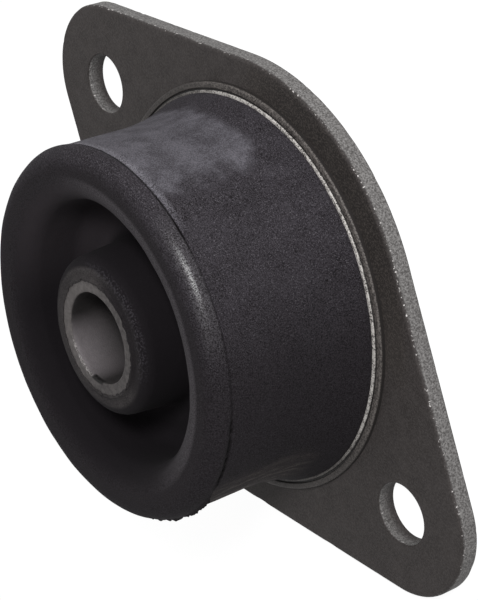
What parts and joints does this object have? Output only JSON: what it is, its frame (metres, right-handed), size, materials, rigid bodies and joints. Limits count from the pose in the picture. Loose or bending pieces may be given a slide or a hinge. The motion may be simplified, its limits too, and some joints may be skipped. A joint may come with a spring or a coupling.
{
  "type": "engine mount",
  "caption": "Bonded rubber engine mount: round rubber body with a central bolt sleeve, standing on a lozenge-shaped steel flange plate with fixing holes at its ends.",
  "frame": {"origin": "centre of the sleeve's bore on the flat back face of the mounting plate", "axes": "+Z along the bore, from the plate's back towards the front of the rubber; the two fixing holes lie on X"},
  "size_m": [0.13, 0.0856, 0.0353],
  "materials": {
    "plate_steel": "dark phosphated steel, satin, rough from forming, bright where an edge has rubbed",
    "shell_steel": "steel ring, wiped bright next to the rubber and dark outside",
    "rubber": "moulded black rubber, satin, finely grained and speckled",
    "sleeve_steel": "dull warm grey steel, rough on its sawn end, smoother in the bore"
  },
  "bodies": {
    "root": {"mounting_plate": "plate_steel", "outer_shell": "shell_steel", "rubber_body": "rubber", "inner_sleeve": "sleeve_steel"}
  },
  "joints": []
}
